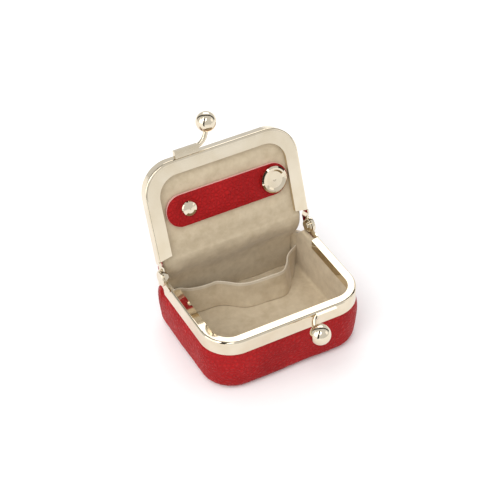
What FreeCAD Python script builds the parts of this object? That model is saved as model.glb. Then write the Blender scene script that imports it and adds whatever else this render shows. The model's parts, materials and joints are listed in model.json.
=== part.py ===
# Small leather jewellery case on a kiss-lock purse frame, shown open.
# X runs across the case, the clasp faces -Y, Z is up. The origin is on the floor,
# at the middle of the tray's footprint. The lid is modelled closed and then swung open.
import FreeCAD, Part
import math
import os
from FreeCAD import Vector

# Overall sizes, in millimetres and degrees
frame_width = 65.0
frame_depth = 44.3          # frame's front edge to the hinge axis
back_depth = 9.3            # hinge axis to the tray's back face
case_height = 25.0          # floor to the lower frame's mating face
lid_height = 8.5            # lid's mating face to its top
open_angle = 109.5

# Gap between neighbouring layers
fit_gap = 0.05

# Metal frames
metal = 0.6
corner_radius = 12.5
edge_round = 0.9
gutter_round = 0.6          # inside the channel's bend
lower_outer_wall = 6.1
lower_inner_wall = 3.8
lower_inner_radius = 7.3
upper_flange = 5.6
upper_outer_wall = 4.2
upper_inner_radius = 8.3
flange_slant = 1.2
closing_gap = 0.1

# Hinges
pivot_rise = 1.15           # hinge axis above the lower mating face
lower_ear_radius = 3.6
upper_ear_radius = 2.9
ear_joggle_length = 1.2
ear_bend_gap = 0.35         # between the lower ear's edge and the upper ear's bend
ear_gap = 0.1
ear_clearance = 1.8
rim_ear_clearance = 0.65
shank_radius = 1.25
shank_clearance = 0.05
rivet_head_radius = 3.1
rivet_head_height = 0.9
rivet_tail_radius = 1.9
rivet_tail_height = 0.45
washer_radius = 2.3
washer_thickness = 0.35
side_play = 0.05

# Clasp
ball_radius = 4.0
ball_reach = 10.6           # ball's centre in front of the frame
ball_gap = 0.2              # between the two balls when closed
clasp_middle = 1.2          # where the balls meet, to the right of the centre line
upper_bar_start = -17.5
upper_bar_end = -7.5
lower_bar_start = 18.0
lower_bar_end = 9.5
upper_bar_proud = 3.0
lower_bar_proud = 1.3
clasp_bar_height = 2.0
clasp_rod_root = 1.4        # rod's length inside the bar
clasp_bend_share = 0.42     # where the rod's first and second bends lie, as shares of its run and reach
clasp_lean_share = 0.10
clasp_rise_share = 0.56
clasp_bar_offset = 0.25     # bar's edge from its frame's mating face
arm_depth_in_ball = 1.5

# Tray layers
leather = 0.8
board = 1.1
lining = 0.4
back_corner_radius = 7.0
lining_back_corner = 3.0
foot_round = 3.5
bottom_panel_inset = 8.0
floor_board_inset = 4.2
floor_lining_inset = 3.6
rim_drop_back = 6.6         # and at the back wall
cord_gap = 0.05

# Pocket divider
divider_height = 10.5
divider_thickness = 0.6
# (share of the half width, distance in front of the lining's back face)
divider_stations = [(-1.0, 3.4), (-0.62, 4.8), (-0.2, 7.4), (0.14, 12.6), (0.54, 12.9), (0.76, 7.2), (1.0, 3.4)]

# Lid layers
lid_board = 0.8
lid_round = 4.0
lid_lining_height = 1.9     # lining's face above the lid's mating face
lid_back_setback = 1.0      # lid's back edge in front of the hinge axis
lid_lining_setback = 6.0
lid_side_relief = 2.6       # lid layers step in this far beside the hinge

# Soft back, which folds at the hinge
back_leather_width = 49.0
back_lining_width = 56.0

# Ring strap and its fastenings
strap_left_gap = 1.4        # strap's left end inside the upper flange
strap_right_gap = 0.6
strap_width = 13.0
strap_thickness = 1.4
strap_setback = 23.75       # strap's middle in front of the hinge axis
strap_rivet_inset = 9.4     # rivet's middle from the strap's left end
strap_flex_inset = 13.5     # where the strap bends when it is unsnapped
snap_inset = 6.1            # snap's middle from the strap's right end
strap_rivet_cap_radius = 3.1
strap_rivet_cap_height = 1.1
strap_rivet_shank_radius = 1.0
strap_rivet_back_radius = 2.8
snap_cap_radius = 5.4
snap_cap_height = 1.5
snap_shank_radius = 1.5
snap_socket_radius = 4.6
snap_socket_height = 1.6
snap_cavity_radius = 2.1
snap_stud_radius = 1.85
snap_flange_radius = 4.4
snap_flange_height = 0.5
snap_cup_clearance = 0.5
snap_rivet_radius = 0.9
snap_rivet_back_radius = 3.2
plate_thickness = 0.5

# Sizes worked out from the ones above
lower_flange = 2 * metal + leather + board + lining + 4 * fit_gap      # covers every layer of the tray's wall
upper_inner_wall = lid_lining_height - 4 * fit_gap
flange_setback = lower_ear_radius + ear_joggle_length + ear_clearance  # flange ends this far in front of the hinge
rim_drop_front = upper_ear_radius - pivot_rise + rim_ear_clearance     # tray rim below the mating face at the hinge

# Places worked out from the sizes above
half_width = frame_width / 2
front_y = -(frame_depth + back_depth) / 2
hinge_y = front_y + frame_depth
back_y = hinge_y + back_depth
pivot_z = case_height + pivot_rise
lid_plane = case_height + closing_gap
flange_end_y = hinge_y - flange_setback
far = frame_width + frame_depth
layer_drop = metal + gutter_round + fit_gap     # layers' edge below the mating face
skin = metal + fit_gap      # leather's outer face inside the frame's outer face
strap_y = hinge_y - strap_setback
strap_left = upper_flange + strap_left_gap - half_width
strap_right = half_width - upper_flange - strap_right_gap
strap_rivet_x = strap_left + strap_rivet_inset
strap_flex_x = strap_left + strap_flex_inset
snap_x = strap_right - snap_inset
strap_top = lid_plane + lid_lining_height - fit_gap
strap_bottom = strap_top - strap_thickness
cup_radius = snap_socket_radius + snap_cup_clearance
socket_top = strap_top + fit_gap + snap_socket_height
stud_flange_bottom = socket_top + 2 * fit_gap
cup_floor = stud_flange_bottom + snap_flange_height + fit_gap

node_folder = "parts"


def rounded_plan(half_x, y0, y1, front_radius, back_radius, z):
    """Flat face with rounded front and back corners."""
    corners = [(1, -1, front_radius, y0, -90), (1, 1, back_radius, y1, 0),
               (-1, 1, back_radius, y1, 90), (-1, -1, front_radius, y0, 180)]
    edges = []
    last = None
    first = None
    for side_x, side_y, radius, y, start in corners:
        centre = Vector(side_x * (half_x - radius), y - side_y * radius, z)
        if radius > 0:
            circle = Part.Circle(centre, Vector(0, 0, 1), radius)
            arc = Part.Arc(circle, math.radians(start), math.radians(start + 90))
            entry, leave = arc.StartPoint, arc.EndPoint
        else:
            arc = None
            entry = leave = centre
        if last is None:
            first = entry
        else:
            edges.append(Part.LineSegment(last, entry).toShape())
        if arc is not None:
            edges.append(arc.toShape())
        last = leave
    edges.append(Part.LineSegment(last, first).toShape())
    return Part.Face(Part.Wire(edges))


def block(half_x, y0, y1, z0, z1, front_radius=0.0, back_radius=0.0):
    """Upright block with rounded vertical corners."""
    face = rounded_plan(half_x, y0, y1, front_radius, back_radius, z0)
    return face.extrude(Vector(0, 0, z1 - z0))


def box(x0, x1, y0, y1, z0, z1):
    return Part.makeBox(x1 - x0, y1 - y0, z1 - z0, Vector(x0, y0, z0))


def tube_x(radius, x0, x1, y=None, z=None):
    """Cylinder along X, on the hinge axis unless told otherwise."""
    y = hinge_y if y is None else y
    z = pivot_z if z is None else z
    return Part.makeCylinder(radius, x1 - x0, Vector(x0, y, z), Vector(1, 0, 0))


def tube_z(radius, x, y, z0, z1):
    return Part.makeCylinder(radius, z1 - z0, Vector(x, y, z0), Vector(0, 0, 1))


def round_edges_at(solid, z, radius):
    """Fillet every horizontal edge that lies at height z."""
    edges = [e for e in solid.Edges if abs(e.BoundBox.ZMin - z) < 1e-4 and abs(e.BoundBox.ZMax - z) < 1e-4]
    return solid.makeFillet(radius, edges)


def side_prism(points, x0, x1):
    """Outline given as (y, z) points, drawn out along X."""
    wire = Part.makePolygon([Vector(x0, y, z) for y, z in points + points[:1]])
    return Part.Face(wire).extrude(Vector(x1 - x0, 0, 0))


def plan_prism(points, z0, z1):
    """Outline given as (x, y) points, drawn up along Z."""
    wire = Part.makePolygon([Vector(x, y, z0) for x, y in points + points[:1]])
    return Part.Face(wire).extrude(Vector(0, 0, z1 - z0))


def mirrored(shape):
    return shape.mirror(Vector(0, 0, 0), Vector(1, 0, 0))


def opened(shape):
    """Swing a lid piece from closed to its resting, open place."""
    turned = shape.copy()
    turned.rotate(Vector(0, hinge_y, pivot_z), Vector(1, 0, 0), -open_angle)
    return turned


def save(name, shape):
    shape.exportStep(os.path.join(node_folder, name + ".step"))
    print(name, "solids", len(shape.Solids), "volume", round(shape.Volume, 2), "valid", shape.isValid())


# ---- Metal frames ----

def inside(offset, radius, z0, z1):
    """Everything inside the frame's outline moved in by an offset, open at the back."""
    return block(half_width - offset, front_y + offset, far, z0, z1, radius)


def channel(flange, outer_wall, inner_wall, inner_radius):
    """U-shaped channel round three sides, mating face down at height 0."""
    solid = inside(0, corner_radius, 0, outer_wall)
    solid = round_edges_at(solid, 0, edge_round)
    solid = solid.cut(inside(flange, inner_radius, -1, outer_wall + 1))
    gutter = inside(metal, corner_radius - metal, metal, outer_wall + 1)
    gutter = round_edges_at(gutter, metal, gutter_round)
    gutter = gutter.cut(inside(flange - metal, inner_radius + metal, 0, outer_wall + 2))
    solid = solid.cut(gutter)
    solid = solid.cut(inside(metal + fit_gap, corner_radius - metal - fit_gap, inner_wall, outer_wall + 1))
    inner_x = half_width - flange
    end = [(-half_width - 1, flange_end_y), (-inner_x, flange_end_y - flange_slant),
           (inner_x, flange_end_y - flange_slant), (half_width + 1, flange_end_y),
           (half_width + 1, far + 1), (-half_width - 1, far + 1)]
    return solid.cut(plan_prism(end, -1, outer_wall + 1))


def lower_ear():
    """Right side's wall, carried back and up round the hinge axis."""
    bottom = case_height - lower_outer_wall
    x0 = half_width - metal
    plate = box(x0, half_width, flange_end_y - 0.5, hinge_y, bottom, case_height - edge_round)
    plate = plate.fuse(box(x0, half_width, flange_end_y, hinge_y, bottom, case_height))
    cheek = box(x0, half_width, hinge_y - lower_ear_radius, hinge_y + lower_ear_radius, bottom, pivot_z)
    corner = [e for e in cheek.Edges
              if abs(e.BoundBox.YMin - hinge_y - lower_ear_radius) < 1e-4
              and abs(e.BoundBox.ZMax - bottom) < 1e-4]
    cheek = cheek.makeFillet(lower_ear_radius / 2, corner)
    plate = plate.fuse(cheek)
    plate = plate.fuse(tube_x(lower_ear_radius, x0, half_width))
    return plate.removeSplitter()


def upper_ear():
    """Right side's wall, stepped in beside the lower ear."""
    step = metal + ear_gap
    bend_end = hinge_y - lower_ear_radius - ear_bend_gap
    bend_start = bend_end - ear_joggle_length
    start = flange_end_y - 0.5
    stop = hinge_y + upper_ear_radius
    strip = [(half_width, start), (half_width, bend_start), (half_width - step, bend_end),
             (half_width - step, stop), (half_width - step - metal, stop),
             (half_width - step - metal, bend_end), (half_width - metal, bend_start),
             (half_width - metal, start)]
    top = lid_plane + upper_outer_wall
    solid = plan_prism(strip, lid_plane - 5, top + 5)
    outline = [(start, lid_plane + edge_round), (start, top), (bend_start, top),
               (hinge_y, pivot_z + upper_ear_radius), (hinge_y, pivot_z - upper_ear_radius),
               (hinge_y - upper_ear_radius, lid_plane), (flange_end_y, lid_plane),
               (flange_end_y, lid_plane + edge_round)]
    side = side_prism(outline, half_width - 5, half_width + 1)
    side = side.fuse(tube_x(upper_ear_radius, half_width - 5, half_width + 1))
    return solid.common(side)


def with_ears(frame, ear):
    hole = tube_x(shank_radius + shank_clearance, -half_width - 1, half_width + 1)
    whole = frame.fuse([ear, mirrored(ear)])
    return whole.removeSplitter().cut(hole)


def lower_frame():
    solid = channel(lower_flange, lower_outer_wall, lower_inner_wall, lower_inner_radius)
    solid = solid.mirror(Vector(0, 0, 0), Vector(0, 0, 1))
    solid.translate(Vector(0, 0, case_height))
    return with_ears(solid, lower_ear())


def upper_frame():
    solid = channel(upper_flange, upper_outer_wall, upper_inner_wall, upper_inner_radius)
    solid.translate(Vector(0, 0, lid_plane))
    return with_ears(solid, upper_ear())


# ---- Hinge rivets ----

def hinge_rivet():
    """Right rivet: head outside, shank through both ears, tail formed over the washer."""
    head_x = half_width + side_play
    head = tube_x(rivet_head_radius, head_x, head_x + rivet_head_height)
    rim = [e for e in head.Edges if abs(e.BoundBox.XMin - head_x - rivet_head_height) < 1e-4]
    head = head.makeFillet(rivet_head_height / 2, rim)
    washer_x = washer_face()
    tail_x = washer_x - washer_thickness - side_play
    shank = tube_x(shank_radius, tail_x - rivet_tail_height / 2, head_x + rivet_head_height / 2)
    tail = tube_x(rivet_tail_radius, tail_x - rivet_tail_height, tail_x)
    return head.fuse([shank, tail]).removeSplitter()


def washer_face():
    """X of the washer's outer face, just inside the upper ear."""
    return half_width - 2 * metal - ear_gap - side_play


def hinge_washer():
    x1 = washer_face()
    ring = tube_x(washer_radius, x1 - washer_thickness, x1)
    return ring.cut(tube_x(shank_radius + shank_clearance, x1 - 1, x1 + 1))


# ---- Clasp ----

def clasp_ball(x, z):
    return Part.makeSphere(ball_radius, Vector(x, front_y - ball_reach, z))


def clasp_arm(bar_start, bar_end, proud, ball_x, z0):
    """Bar on the frame's front wall, and the rod that bends out from it into the ball."""
    toward = 1 if bar_end > bar_start else -1
    z1 = z0 + clasp_bar_height
    bar = box(min(bar_start, bar_end), max(bar_start, bar_end), front_y - proud, front_y, z0, z1)
    rod_radius = clasp_bar_height / 2 - fit_gap
    middle_z = (z0 + z1) / 2
    run = ball_x - bar_end
    reach = ball_reach - ball_radius + arm_depth_in_ball
    start = Vector(bar_end - toward * clasp_rod_root, front_y - proud + rod_radius + fit_gap, middle_z)
    course = Part.BezierCurve()
    course.setPoles([start,
                     Vector(bar_end + run * clasp_bend_share, start.y, middle_z),
                     Vector(ball_x - run * clasp_lean_share, front_y - reach * clasp_rise_share, middle_z),
                     Vector(ball_x, front_y - reach, middle_z)])
    ring = Part.Circle(start, course.tangent(0)[0], rod_radius)
    rod = Part.Wire(course.toShape()).makePipeShell([Part.Wire(ring.toShape())], True, True)
    rod = rod.cut(box(-far, far, front_y, far, -far, far))
    return bar.fuse(rod).removeSplitter()


def clasps():
    """Both halves of the kiss lock, closed."""
    reach = ball_radius + ball_gap / 2
    upper_x = clasp_middle - reach
    lower_x = clasp_middle + reach
    upper_arm = clasp_arm(upper_bar_start, upper_bar_end, upper_bar_proud, upper_x,
                          lid_plane + clasp_bar_offset)
    lower_arm = clasp_arm(lower_bar_start, lower_bar_end, lower_bar_proud, lower_x,
                          case_height - clasp_bar_offset - clasp_bar_height)
    upper_ball = clasp_ball(upper_x, case_height).cut(upper_arm)
    lower_ball = clasp_ball(lower_x, case_height).cut(lower_arm)
    return upper_arm, upper_ball, lower_arm, lower_ball


# ---- Tray ----

def tray_block(depth, front_radius, back_radius):
    """Tray's outline moved in by a depth, with its rounded foot."""
    offset = skin + depth
    solid = block(half_width - offset, front_y + offset, back_y - depth, depth,
                  case_height - layer_drop, front_radius, back_radius)
    return round_edges_at(solid, depth, foot_round - depth)


def above_rim():
    """Space over the tray's rim, which drops beside the hinge and again at the back."""
    top = case_height - layer_drop
    points = [(flange_end_y - flange_slant, top), (flange_end_y - flange_slant, far), (back_y + 1, far),
              (back_y + 1, case_height - rim_drop_back), (hinge_y + 0.7 * back_depth, case_height - rim_drop_back),
              (hinge_y + 1.0, case_height - rim_drop_front - 0.2),
              (hinge_y - lower_ear_radius, case_height - rim_drop_front)]
    return side_prism(points, -half_width - 1, half_width + 1)


def tray_layer(depth, thickness, outer_radii, inner_radii, hole_inset):
    """One layer of the tray's wall, with an opening in its floor. Radii are (front, back)."""
    solid = tray_block(depth, *outer_radii)
    inner = tray_block(depth + thickness, *inner_radii)
    high = inner.copy()
    high.translate(Vector(0, 0, 1.0))
    solid = solid.cut(inner.fuse(high))
    hole = floor_plate(hole_inset, -1, case_height / 2)
    return solid.cut(hole).cut(above_rim())


def floor_plate(inset, z0, z1):
    """Flat plate with the tray's outline moved in from its outer face."""
    offset = skin + inset
    front_radius = max(corner_radius - offset, 1.0)
    back_radius = max(back_corner_radius - inset, 1.0)
    return block(half_width - offset, front_y + offset, back_y - inset, z0, z1, front_radius, back_radius)


board_depth = leather + fit_gap
lining_depth = board_depth + board + fit_gap
lining_corner = lower_inner_radius + metal + fit_gap + lining


def base_leather():
    front = corner_radius - skin
    back = back_corner_radius
    return tray_layer(0.0, leather, (front, back), (front - leather, back - leather), bottom_panel_inset)


def base_bottom_leather():
    return floor_plate(bottom_panel_inset + fit_gap, 0.0, leather)


def base_wall_board():
    outer = (corner_radius - skin - board_depth, back_corner_radius - board_depth)
    inner = (lining_corner + fit_gap, lining_back_corner + fit_gap)
    solid = tray_layer(board_depth, board, outer, inner, floor_board_inset)
    low = case_height - lower_inner_wall - 2 * fit_gap
    return solid.cut(box(-far, far, -far, far, low, far))


def base_floor_board():
    return floor_plate(floor_board_inset + fit_gap, board_depth, board_depth + board)


def base_lining():
    outer = (lining_corner, lining_back_corner)
    inner = (lining_corner - lining, lining_back_corner - lining)
    return tray_layer(lining_depth, lining, outer, inner, floor_lining_inset)


def floor_lining():
    return floor_plate(floor_lining_inset + fit_gap, lining_depth, lining_depth + lining)


def lower_paper_cord():
    """Rolled paper between the leather and the lining, inside the lower channel."""
    z0 = case_height - lower_inner_wall
    z1 = case_height - metal - fit_gap
    outer_offset = skin + board_depth
    inner_offset = skin + lining_depth - cord_gap
    outer = inside(outer_offset, corner_radius - outer_offset, z0, z1)
    solid = outer.cut(inside(inner_offset, lining_corner + cord_gap, z0 - 1, z1 + 1))
    return solid.cut(box(-far, far, flange_end_y - flange_slant, far + 1, z0 - 1, z1 + 1))


def pocket_divider():
    """Cloth wall that bellies forward from the back corners."""
    z0 = lining_depth + lining + fit_gap
    reach = half_width - skin - lining_depth - lining
    back = back_y - lining_depth - lining
    centre = [Vector(share * reach, back - forward, z0) for share, forward in divider_stations]
    curve = Part.BSplineCurve()
    curve.interpolate(centre)
    near = []
    away = []
    for point in centre:
        tangent = curve.tangent(curve.parameter(point))[0]
        across = Vector(-tangent.y, tangent.x, 0).normalize()
        near.append(point - across * divider_thickness / 2)
        away.append(point + across * divider_thickness / 2)
    near_curve = Part.BSplineCurve()
    near_curve.interpolate(near)
    away_curve = Part.BSplineCurve()
    away_curve.interpolate(away)
    edges = [near_curve.toShape(), Part.LineSegment(near[-1], away[-1]).toShape(),
             away_curve.toShape(), Part.LineSegment(away[0], near[0]).toShape()]
    solid = Part.Face(Part.Wire(edges)).extrude(Vector(0, 0, divider_height))
    hollow = tray_block(lining_depth + lining + fit_gap, lining_corner - lining - fit_gap,
                        lining_back_corner - lining - fit_gap)
    return solid.common(hollow)


# ---- Lid, modelled closed ----

def lid_block(depth, z0, setback=lid_back_setback):
    """Lid's domed outline moved in by a depth, cut square at the back."""
    offset = skin + depth
    top = lid_plane + lid_height - depth
    solid = block(half_width - offset, front_y + offset, far, z0, top, corner_radius - offset)
    solid = round_edges_at(solid, top, lid_round - depth)
    return solid.cut(box(-far, far, hinge_y - setback, far + 1, -far, far))


def clear_of_ears(solid):
    """Step a lid layer in beside the hinge."""
    x = half_width - lid_side_relief
    y = flange_end_y - flange_slant
    for side in (-1, 1):
        x0, x1 = sorted((side * x, side * far))
        solid = solid.cut(box(x0, x1, y, far + 1, -far, far))
    return solid


lid_board_depth = leather + fit_gap
lid_inner_depth = lid_board_depth + lid_board + fit_gap
channel_floor = lid_plane + metal + fit_gap
lid_layer_start = lid_plane + layer_drop
lining_bottom = lid_plane + lid_lining_height
lining_top = lining_bottom + lining


def lid_shell(depth, thickness):
    solid = lid_block(depth, lid_layer_start)
    inner = lid_block(depth + thickness, lid_layer_start - 1, 0.0)
    return clear_of_ears(solid.cut(inner))


def lid_leather():
    return lid_shell(0.0, leather)


def lid_stiffener():
    return lid_shell(lid_board_depth, lid_board)


def lid_padding():
    solid = clear_of_ears(lid_block(lid_inner_depth, lining_top + fit_gap, lid_lining_setback + 4 * fit_gap))
    pocket = tube_z(cup_radius + lining + fit_gap, snap_x, strap_y, 0, cup_floor + lining + fit_gap)
    rivet_seat = tube_z(snap_rivet_back_radius + fit_gap, snap_x, strap_y, 0,
                        cup_floor + lining + plate_thickness + 2 * fit_gap)
    strap_seat = tube_z(strap_rivet_back_radius + fit_gap, strap_rivet_x, strap_y, 0,
                        lining_top + plate_thickness + 2 * fit_gap)
    return solid.cut(pocket).cut(rivet_seat).cut(strap_seat)


def lid_lining():
    """Flat lining with a cup drawn in round the snap."""
    solid = clear_of_ears(lid_block(lid_inner_depth, lining_bottom, lid_lining_setback))
    solid = solid.cut(box(-far, far, -far, far, lining_top, far))
    solid = solid.cut(tube_z(cup_radius, snap_x, strap_y, 0, far))
    cup = tube_z(cup_radius + lining, snap_x, strap_y, lining_bottom, cup_floor + lining)
    cup = cup.cut(tube_z(cup_radius, snap_x, strap_y, 0, cup_floor))
    solid = solid.fuse(cup)
    solid = solid.cut(tube_z(snap_rivet_radius + fit_gap, snap_x, strap_y, 0, far))
    return solid.cut(tube_z(strap_rivet_shank_radius + fit_gap, strap_rivet_x, strap_y, 0, far))


def upper_paper_cord():
    """Rolled paper in the upper channel, under the lining's edge."""
    outer_offset = skin + lid_inner_depth
    inner_offset = upper_flange - metal - cord_gap
    z1 = lining_bottom - fit_gap
    outer = inside(outer_offset, corner_radius - outer_offset, channel_floor, z1)
    inner = inside(inner_offset, upper_inner_radius + metal + cord_gap, 0, far)
    solid = outer.cut(inner)
    return solid.cut(box(-far, far, flange_end_y - flange_slant, far + 1, 0, far))


# ---- Soft back, in its open shape ----

def folded_sheet(path, thickness, width):
    """Sheet that follows (behind the hinge, above the hinge) points, as wide as told."""
    outer = [Vector(-width / 2, hinge_y + y, pivot_z + z) for y, z in path]
    inner = [point - Vector(0, thickness, 0) for point in outer]
    outer_curve = Part.BSplineCurve()
    outer_curve.interpolate(outer)
    inner_curve = Part.BSplineCurve()
    inner_curve.interpolate(inner)
    edges = [outer_curve.toShape(), Part.LineSegment(outer[-1], inner[-1]).toShape(),
             inner_curve.toShape(), Part.LineSegment(inner[0], outer[0]).toShape()]
    return Part.Face(Part.Wire(edges)).extrude(Vector(width, 0, 0))


def open_place(y, z):
    """Where a closed lid point, told from the hinge axis, lies when the lid is open."""
    angle = math.radians(-open_angle)
    return (y * math.cos(angle) - z * math.sin(angle), y * math.sin(angle) + z * math.cos(angle))


def back_leather():
    lid_top = lid_plane + lid_height - pivot_z
    lid_y, lid_z = open_place(-lid_back_setback, lid_top)
    rim_z = case_height - rim_drop_back - pivot_z
    middle_y = (lid_y + back_depth) / 2 + 0.5
    path = [(lid_y, lid_z - 0.3), (middle_y, (lid_z + rim_z) / 2), (back_depth, rim_z + 0.1)]
    return folded_sheet(path, leather, back_leather_width)


def back_lining():
    lining_y, lining_z = open_place(-lid_lining_setback, lining_bottom - pivot_z)
    rim_z = case_height - rim_drop_back - pivot_z
    foot_y = back_depth - lining_depth
    path = [(lining_y + 0.5, lining_z - 0.6), (lining_y + 0.7, lining_z - 4.0), (lining_y + 1.2, lining_z - 7.0),
            (foot_y - 1.6, rim_z + 2.6), (foot_y, rim_z + 0.1)]
    return folded_sheet(path, lining, back_lining_width)


# ---- Ring strap, modelled closed ----

def whole_strap():
    half = strap_width / 2
    plan = block((strap_right - strap_left) / 2, strap_y - half, strap_y + half, strap_bottom, strap_top,
                 half - 0.01, half - 0.01)
    plan.translate(Vector((strap_right + strap_left) / 2, 0, 0))
    return plan


def ring_strap_root():
    solid = whole_strap().common(box(-far, strap_flex_x - fit_gap, -far, far, 0, far))
    return solid.cut(tube_z(strap_rivet_shank_radius + fit_gap, strap_rivet_x, strap_y, 0, far))


def ring_strap():
    solid = whole_strap().common(box(strap_flex_x + fit_gap, far, -far, far, 0, far))
    return solid.cut(tube_z(snap_shank_radius + fit_gap, snap_x, strap_y, 0, far))


def turned_piece(profile, x, y):
    """Solid of revolution about an upright axis, from (radius, z) points."""
    wire = Part.makePolygon([Vector(x + r, y, z) for r, z in profile + profile[:1]])
    return Part.Face(wire).revolve(Vector(x, y, 0), Vector(0, 0, 1), 360)


def strap_rivet_cap():
    z1 = strap_bottom - fit_gap
    z0 = z1 - strap_rivet_cap_height
    r = strap_rivet_cap_radius
    return turned_piece([(0, z0), (r * 0.55, z0 + 0.12), (r * 0.9, z0 + 0.45), (r, z1 - 0.2), (r, z1), (0, z1)],
                        strap_rivet_x, strap_y)


def strap_rivet_post():
    z0 = strap_bottom - fit_gap
    back_z = lining_top + fit_gap
    shank = tube_z(strap_rivet_shank_radius, strap_rivet_x, strap_y, z0, back_z + plate_thickness / 2)
    plate = tube_z(strap_rivet_back_radius, strap_rivet_x, strap_y, back_z, back_z + plate_thickness)
    return shank.fuse(plate).removeSplitter()


def snap_cap():
    """Dished cap with a raised rim, and the tube that goes through the strap."""
    z1 = strap_bottom - fit_gap
    z0 = z1 - snap_cap_height
    r = snap_cap_radius
    top = strap_top + fit_gap + metal
    profile = [(0, z0 + 0.5), (r * 0.62, z0 + 0.45), (r * 0.76, z0 + 0.05), (r * 0.88, z0), (r, z0 + 0.55),
               (r, z1), (snap_shank_radius, z1), (snap_shank_radius, top), (0, top)]
    return turned_piece(profile, snap_x, strap_y)


def snap_socket():
    z0 = strap_top + fit_gap
    r = snap_socket_radius
    profile = [(snap_shank_radius + fit_gap, z0), (r, z0), (r, z0 + 0.9), (r * 0.8, socket_top),
               (snap_cavity_radius, socket_top), (snap_cavity_radius, z0 + metal + fit_gap),
               (snap_shank_radius + fit_gap, z0 + metal + fit_gap)]
    return turned_piece(profile, snap_x, strap_y)


def snap_stud():
    z0 = strap_top + 2 * fit_gap + metal + 0.1
    top = stud_flange_bottom + snap_flange_height
    r = snap_stud_radius
    profile = [(snap_rivet_radius + fit_gap, z0), (r * 0.8, z0), (r, z0 + 0.3), (r * 0.85, z0 + 0.8),
               (r * 0.85, stud_flange_bottom), (snap_flange_radius, stud_flange_bottom),
               (snap_flange_radius, top), (snap_rivet_radius + fit_gap, top)]
    return turned_piece(profile, snap_x, strap_y)


def snap_stud_rivet():
    z0 = strap_top + 2 * fit_gap + metal + 0.1
    back_z = cup_floor + lining + fit_gap
    shank = tube_z(snap_rivet_radius, snap_x, strap_y, z0, back_z + plate_thickness / 2)
    plate = tube_z(snap_rivet_back_radius, snap_x, strap_y, back_z, back_z + plate_thickness)
    return shank.fuse(plate).removeSplitter()


# ---- All nodes ----

def build():
    os.makedirs(node_folder, exist_ok=True)
    upper_arm, upper_ball, lower_arm, lower_ball = clasps()
    rivet = hinge_rivet()
    washer = hinge_washer()
    tray_nodes = {
        "lower_frame": lower_frame(),
        "lower_paper_cord": lower_paper_cord(),
        "lower_clasp_arm": lower_arm,
        "lower_clasp_ball": lower_ball,
        "hinge_rivet_right": rivet,
        "hinge_rivet_left": mirrored(rivet),
        "hinge_washer_right": washer,
        "hinge_washer_left": mirrored(washer),
        "base_leather": base_leather(),
        "base_bottom_leather": base_bottom_leather(),
        "base_wall_board": base_wall_board(),
        "base_floor_board": base_floor_board(),
        "base_lining": base_lining(),
        "floor_lining": floor_lining(),
        "pocket_divider": pocket_divider(),
        "back_leather": back_leather(),
        "back_lining": back_lining(),
    }
    lid_nodes = {
        "upper_frame": upper_frame(),
        "upper_paper_cord": upper_paper_cord(),
        "upper_clasp_arm": upper_arm,
        "upper_clasp_ball": upper_ball,
        "lid_leather": lid_leather(),
        "lid_board": lid_stiffener(),
        "lid_padding": lid_padding(),
        "lid_lining": lid_lining(),
        "ring_strap_root": ring_strap_root(),
        "strap_rivet_cap": strap_rivet_cap(),
        "strap_rivet_post": strap_rivet_post(),
        "snap_stud": snap_stud(),
        "snap_stud_rivet": snap_stud_rivet(),
        "ring_strap": ring_strap(),
        "snap_cap": snap_cap(),
        "snap_socket": snap_socket(),
    }
    for name, shape in tray_nodes.items():
        save(name, shape)
    for name, shape in lid_nodes.items():
        save(name, opened(shape))


build()
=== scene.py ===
import bpy
import bmesh
import json
import math
from mathutils import Matrix, Vector, noise


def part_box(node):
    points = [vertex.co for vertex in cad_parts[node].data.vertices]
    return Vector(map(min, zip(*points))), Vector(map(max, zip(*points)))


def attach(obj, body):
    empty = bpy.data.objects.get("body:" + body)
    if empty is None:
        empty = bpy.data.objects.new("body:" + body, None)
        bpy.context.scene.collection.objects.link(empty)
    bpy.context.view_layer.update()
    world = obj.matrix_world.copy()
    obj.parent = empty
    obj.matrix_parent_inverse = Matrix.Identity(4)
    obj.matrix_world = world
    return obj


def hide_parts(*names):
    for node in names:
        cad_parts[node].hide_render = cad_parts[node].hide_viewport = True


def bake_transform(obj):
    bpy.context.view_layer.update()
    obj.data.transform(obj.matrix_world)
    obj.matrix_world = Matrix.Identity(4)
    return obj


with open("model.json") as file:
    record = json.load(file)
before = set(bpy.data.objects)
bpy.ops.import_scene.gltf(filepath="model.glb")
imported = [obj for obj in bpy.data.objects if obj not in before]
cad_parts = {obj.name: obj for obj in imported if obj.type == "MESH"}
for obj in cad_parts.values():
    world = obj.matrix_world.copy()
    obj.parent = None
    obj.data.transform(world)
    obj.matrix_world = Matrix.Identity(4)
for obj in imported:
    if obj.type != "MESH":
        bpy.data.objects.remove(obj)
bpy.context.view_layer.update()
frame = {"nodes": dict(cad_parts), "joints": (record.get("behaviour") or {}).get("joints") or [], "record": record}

mm = 0.001
nodes = frame["nodes"]
scene = bpy.context.scene


def boxOf(node):
    low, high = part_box(node)
    return low / mm, high / mm


lidJoint = next(j for j in frame["joints"] if j["name"] == "lid_hinge")
hinge = Vector(lidJoint["pos_m"]) / mm
openAngle = math.radians(lidJoint["range_deg"][1])
# swings a place of the shut lid to where it lies when the lid stands open
lidOpen = Matrix.Translation(hinge) @ Matrix.Rotation(-openAngle, 4, "X") @ Matrix.Translation(-hinge)
trayLow, trayHigh = boxOf("base_leather")

frameFit = {
    "pivotRise": 1.15,         # hinge axis above the lower frame's mating face
    "closingGap": 0.1,
    "flangeSetback": 7.8,      # frames' flat rims end this far in front of the hinge
    "skirt": 6.1,              # lower frame's outer wall
}
rimZ = hinge.z - frameFit["pivotRise"]
lidPlane = rimZ + frameFit["closingGap"]
flangeEndY = hinge.y - frameFit["flangeSetback"]


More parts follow.
